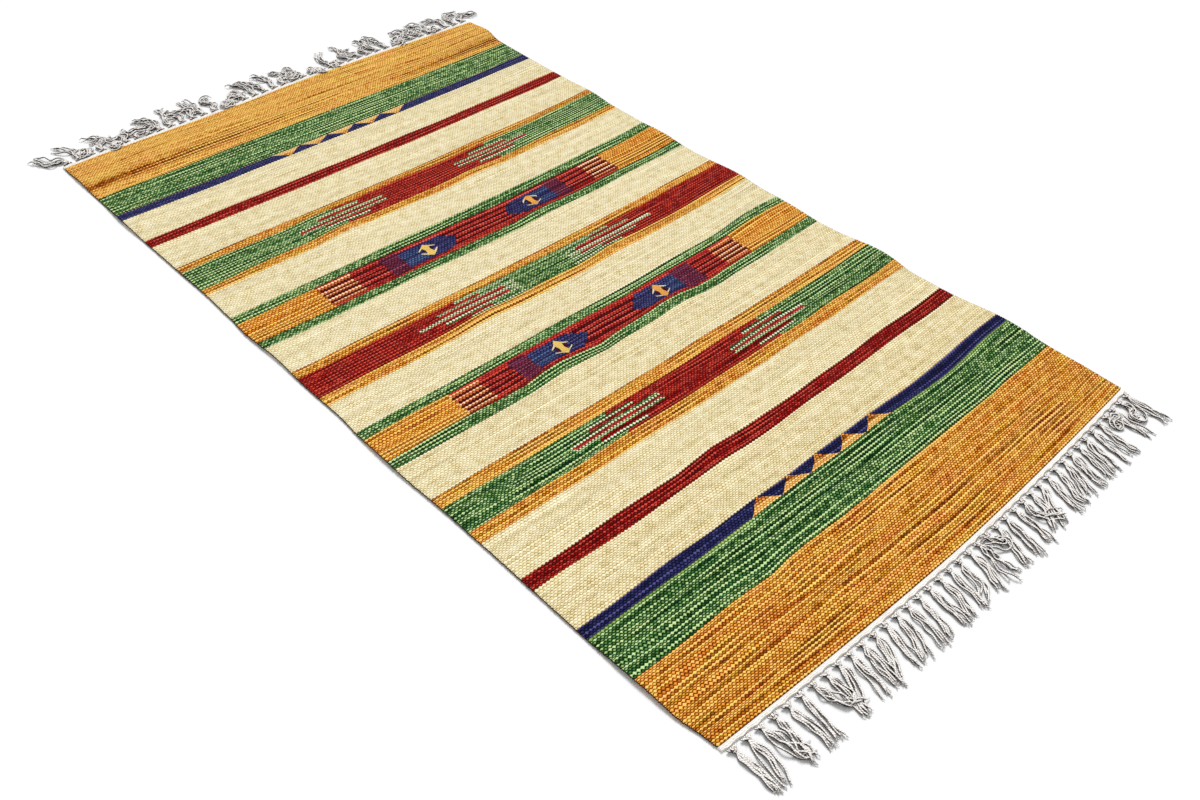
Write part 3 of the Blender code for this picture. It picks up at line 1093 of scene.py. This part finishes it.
def cord_route(knot, far, shift, slot, after, way, length, detail):
    """The points of one cord, from the heading through its tassel's knot to the cord's tip.

    slot and after, from -1 to 1, are its place beside its neighbours before and after the knot.
    way is the way its tassel goes.
    """
    outward = 1.0 if far else -1.0
    x, y = end_place(knot, SEAM_GAP + HEADING_WIDTH, far)
    foot = end_lift(knot, far)
    wander_phase = detail.uniform(0, 2 * math.pi)
    wander = detail.uniform(0.0003, 0.0009)
    wander_wave = detail.uniform(0.022, 0.040)
    rise_phase = detail.uniform(0, 2 * math.pi)
    rise_wave = detail.uniform(0.018, 0.034)
    own_turn = detail.gauss(0.0, 0.05)
    straight = math.asin(max(-0.95, min(0.95, way.lean / TASSEL_LENGTH)))
    route = []
    travelled = -0.0008
    side = 0.0
    out = travelled
    while travelled < length:
        past_knot = max(0.0, travelled - KNOT_MIDDLE)
        share = past_knot / (length - KNOT_MIDDLE)
        gather = 1.0 - smooth_step(travelled / KNOT_MIDDLE)
        loosen = smooth_step(past_knot / 0.014)
        heading = straight + way.bow * math.pi / TASSEL_LENGTH * math.cos(math.pi * share)
        heading += way.wind * math.sin(2 * math.pi * share + way.phase)
        heading = (heading + own_turn) * loosen + way.hook * share * share
        side += math.sin(heading) * CORD_STEP
        out += math.cos(heading) * CORD_STEP
        beside = slot * WARPS_HALF_WIDTH * gather + after * way.half_width * loosen
        beside += slot * 0.0012 * (1.0 - gather) * (1.0 - loosen)
        beside += wander * loosen * math.sin(2 * math.pi * travelled / wander_wave + wander_phase)
        level = 0.5 + 0.5 * math.sin(2 * math.pi * travelled / rise_wave + rise_phase)
        high = CORD_RADIUS * (1.3 + way.ride * level * loosen + 0.9 * (1.0 - loosen))
        place_x = x + side + beside * math.cos(heading)
        place_y = y + outward * (out - beside * math.sin(heading))
        route.append((place_x + shift.x, place_y + shift.y, high + foot * (1.0 - loosen)))
        travelled += CORD_STEP
    return route


def knot_route(x, y, z, turn, size):
    """A closed overhand knot, lying flat: the points of its cord."""
    route = []
    for step in range(29):
        angle = 2 * math.pi * step / 28
        flat_x = (math.sin(angle) + 2 * math.sin(2 * angle)) / 3
        flat_y = (math.cos(angle) - 2 * math.cos(2 * angle)) / 3
        height = -math.sin(3 * angle)
        across = flat_x * math.cos(turn) - flat_y * math.sin(turn)
        outward = flat_x * math.sin(turn) + flat_y * math.cos(turn)
        route.append((x + across * size * 1.15, y + outward * size, z + height * size * 0.42))
    return route


def add_fray(cords, route, detail):
    """A few loose fibres at a cord's tip."""
    tip = np.array(route[-1])
    ahead = (tip - np.array(route[-4])) * (1.0, 1.0, 0.0)
    ahead /= np.linalg.norm(ahead)
    aside = np.array((-ahead[1], ahead[0], 0.0))
    for fibre in range(3):
        long = detail.uniform(0.003, 0.006)
        splay = detail.uniform(-0.7, 0.7)
        drop = 0.0006 - tip[2]
        steps = [0.0, 0.4, 0.8, 1.0]
        fibres = [
            tip + (ahead + aside * splay * share) * long * share + (0, 0, drop * share * 0.7)
            for share in steps
        ]
        cords.add(fibres, [0.00055, 0.0005, 0.0004, 0.0002], 3)


def make_fringe(name, far, fringe, shift, material):
    """A fringe of knotted tassels, as one mesh of cords and one of knots."""
    chance = random.Random(fringe.seed)
    detail = random.Random(fringe.seed + 100)
    cords = Tubes()
    knots = Tubes()
    pitch = CLOTH_WIDTH / TASSEL_COUNT
    outward = 1.0 if far else -1.0
    for index in range(TASSEL_COUNT):
        knot = (index + 0.5) * pitch
        lean = tassel_lean(fringe, index, chance)
        bow = chance.uniform(-1, 1) * fringe.bow
        count = detail.choice((5, 5, 6, 6))
        curl = FAR_CURL if far or index in NEAR_TANGLES else NEAR_CURL
        half_width = detail.uniform(curl.narrow, curl.wide)
        if 0 < index < TASSEL_COUNT - 1:
            lean += curl.lean + detail.gauss(0.0, curl.sway)
        hook = detail.gauss(0.0, curl.hook)
        wind = detail.gauss(0.0, curl.wind)
        phase = detail.uniform(0, 2 * math.pi)
        slots = [2 * place / (count - 1) - 1 for place in range(count)]
        after = slots[:]
        if detail.random() < MIXED_SHARE:
            detail.shuffle(after)
        for slot, later in zip(slots, after):
            length = KNOT_ROW_WIDTH + TASSEL_LENGTH * detail.uniform(0.88, 1.04)
            own_hook = hook + detail.gauss(0.0, curl.own)
            own_wind = wind + detail.gauss(0.0, curl.own)
            way = Way(lean, bow, own_hook, own_wind, phase, half_width, curl.ride)
            route = cord_route(knot, far, shift, slot, later, way, length, detail)
            radii = [CORD_RADIUS] * len(route)
            radii[-1] = CORD_RADIUS * 0.6
            cords.add(route, radii, CORD_SIDES, lobes=0.20)
            add_fray(cords, route, detail)
        x, y = end_place(knot, SEAM_GAP + HEADING_WIDTH + KNOT_MIDDLE, far)
        z = end_lift(knot, far) + KNOT_HEIGHT
        turn = detail.uniform(0, 2 * math.pi)
        route = knot_route(x + shift.x, y + shift.y, z, turn, detail.uniform(0.0027, 0.0034))
        knots.add(route, [CORD_RADIUS * 1.15] * len(route), CORD_SIDES, lobes=0.15)
    cord_piece = cords.made(name + "_cords", material)
    knot_piece = knots.made(name + "_knots", material)
    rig.replaces(cord_piece, name)
    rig.replaces(knot_piece, name)
    return [cord_piece, knot_piece]


# ---- Floor, light and camera --------------------------------------------------------------------


FLOOR_REACH = 40.0
FLOOR_HEIGHT = -0.0003  # just under the rug's own resting plane


def make_floor():
    mesh = bpy.data.meshes.new("studio_floor")
    turns = ((-1, -1), (1, -1), (1, 1), (-1, 1))
    corners = [(x * FLOOR_REACH, y * FLOOR_REACH, FLOOR_HEIGHT) for x, y in turns]
    mesh.from_pydata(corners, [], [(0, 1, 2, 3)])
    floor = bpy.data.objects.new("studio_floor", mesh)
    bpy.context.scene.collection.objects.link(floor)
    material = bpy.data.materials.new("pale_floor")
    material.use_nodes = True
    shader = material.node_tree.nodes["Principled BSDF"]
    shader.inputs["Base Color"].default_value = (0.97, 0.97, 0.97, 1.0)
    shader.inputs["Roughness"].default_value = 0.9
    shader.inputs["Specular IOR Level"].default_value = 0.1
    mesh.materials.append(material)
    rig.stage(floor)
    return floor


def soft_sun(name, towards, strength, spread):
    """A far, broad and soft light: towards is the direction in which it stands."""
    light = bpy.data.lights.new(name, "SUN")
    light.energy = strength
    light.angle = math.radians(spread)
    lamp = bpy.data.objects.new(name, light)
    lamp.rotation_euler = Vector(towards).to_track_quat("Z", "Y").to_euler()
    bpy.context.scene.collection.objects.link(lamp)


def make_light():
    world = bpy.data.worlds.new("studio")
    world.use_nodes = True
    background = world.node_tree.nodes["Background"]
    background.inputs["Color"].default_value = (1.0, 1.0, 1.0, 1.0)
    background.inputs["Strength"].default_value = 0.50
    bpy.context.scene.world = world
    soft_sun("key_light", (0.55, 0.65, 0.85), 2.6, 25.0)
    bpy.context.scene.view_settings.view_transform = "Standard"


def make_camera():
    lens = bpy.data.cameras.new("camera")
    lens.lens = 36.90
    lens.sensor_width = 36.0
    camera = bpy.data.objects.new("camera", lens)
    camera.location = (-1.0973, -1.1374, 1.1815)
    camera.rotation_euler = [math.radians(angle) for angle in (47.3696, -3.2891, -44.0236)]
    bpy.context.scene.collection.objects.link(camera)
    bpy.context.scene.camera = camera


def model_shift():
    """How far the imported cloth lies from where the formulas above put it."""
    low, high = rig.box("rug_cloth")
    steps = np.linspace(0.0, CLOTH_LENGTH, 575)
    places = [plan_place(side * CLOTH_WIDTH, along) for side in (0, 1) for along in steps]
    middle_x = (min(x for x, y in places) + max(x for x, y in places)) / 2
    top_y = max(plan_place(share * CLOTH_WIDTH / 40, 0.0)[1] for share in range(41))
    return Vector(((low[0] + high[0]) / 2 - middle_x, high[1] - top_y, 0.0))


def main():
    shift = model_shift()
    floor = make_floor()
    cloth = make_cloth(shift)
    cotton = heading_material()
    cord = cord_material()
    edges = [
        make_heading("heading_far", True, shift, cotton),
        make_heading("heading_near", False, shift, cotton),
    ]
    edges += make_fringe("fringe_far", True, FAR_FRINGE, shift, cord)
    edges += make_fringe("fringe_near", False, NEAR_FRINGE, shift, cord)
    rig.sheet(cloth, flat=(0.90, 1.51), held="laid", rests_on=[floor.name], with_pieces=edges)
    make_light()
    make_camera()


main()
with open("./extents.json", "w") as sizes:
    json.dump(
        {
            "cad": [list(corner) for corner in cad_box],
            "visual": [list(corner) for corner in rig.bounds()],
        },
        sizes,
    )
